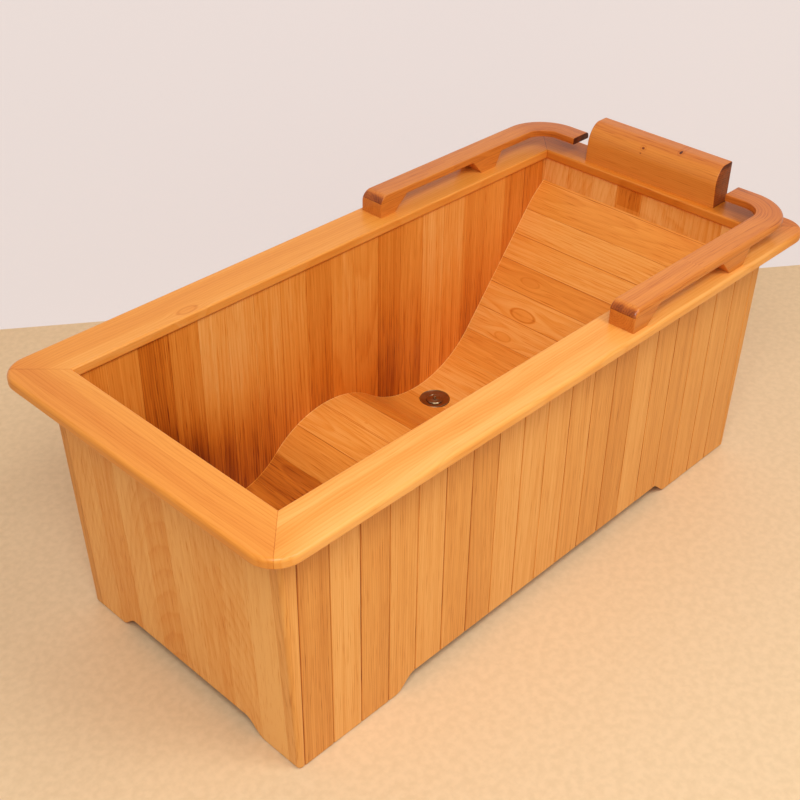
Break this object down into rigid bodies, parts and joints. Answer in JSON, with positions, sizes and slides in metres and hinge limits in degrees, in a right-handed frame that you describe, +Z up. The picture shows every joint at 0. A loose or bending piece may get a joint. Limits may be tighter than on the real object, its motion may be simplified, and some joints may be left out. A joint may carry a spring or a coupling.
{
  "type": "wooden soaking tub",
  "caption": "Wooden soaking tub with a mitred rim, reclining slatted seat, curved handrails, a headrest and a lifting drain plug.",
  "frame": {"origin": "on the floor under the middle of the rim", "axes": "+X from the foot end to the head end, +Y from the near long side to the far long side with the drain, +Z up"},
  "size_m": [1.61, 0.782, 0.696],
  "materials": {
    "honey_wood": "gloss lacquer",
    "rim_wood": "gloss lacquer",
    "red_wood": "gloss lacquer",
    "plain_wood": "bare",
    "bronze": "antique bronze",
    "seal_rubber": "matt",
    "black_plastic": "matt"
  },
  "bodies": {
    "tub": {"back_bearers": "plain_wood", "back_board_1": "honey_wood", "back_board_2": "honey_wood", "back_board_3": "honey_wood", "back_board_4": "honey_wood", "back_board_5": "honey_wood", "cleats_far": "plain_wood", "cleats_near": "plain_wood", "corner_strip_foot_far": "honey_wood", "corner_strip_foot_near": "honey_wood", "corner_strip_head_far": "honey_wood", "corner_strip_head_near": "honey_wood", "drain_flange": "bronze", "drain_gasket": "seal_rubber", "drain_locknut": "bronze", "drain_washer": "seal_rubber", "far_foot_staves": "honey_wood", "far_head_staves": "honey_wood", "far_skirt_staves": "honey_wood", "floor_bearers": "plain_wood", "floor_board_1": "honey_wood", "floor_board_2": "honey_wood", "floor_board_3": "honey_wood", "floor_board_4": "honey_wood", "floor_board_5": "honey_wood", "floor_glides": "black_plastic", "foot_end_boards": "honey_wood", "handrail_dowels": "plain_wood", "handrail_far": "red_wood", "handrail_near": "red_wood", "head_end_boards": "honey_wood", "headrest": "red_wood", "headrest_dowels": "plain_wood", "knee_board_1": "honey_wood", "knee_board_2": "honey_wood", "knee_board_3": "honey_wood", "knee_board_4": "honey_wood", "near_foot_staves": "honey_wood", "near_head_staves": "honey_wood", "near_skirt_staves": "honey_wood", "ramp_board_1": "honey_wood", "ramp_board_2": "honey_wood", "rim_far": "rim_wood", "rim_foot": "rim_wood", "rim_head": "rim_wood", "rim_near": "rim_wood", "rim_splines": "plain_wood", "seat_board_1": "honey_wood", "seat_board_2": "honey_wood", "seat_board_3": "honey_wood", "seat_board_4": "honey_wood", "seat_board_5": "honey_wood", "shoulder_board": "honey_wood"},
    "stopper": {"stopper_plug": "bronze", "stopper_seal": "seal_rubber", "stopper_knob": "bronze", "stopper_stop_nut": "bronze"}
  },
  "joints": [
    {"name": "stopper_lift", "type": "slide", "parent": "tub", "child": "stopper", "axis": [0, 0, 1], "range_m": [0, 0.01]}
  ]
}
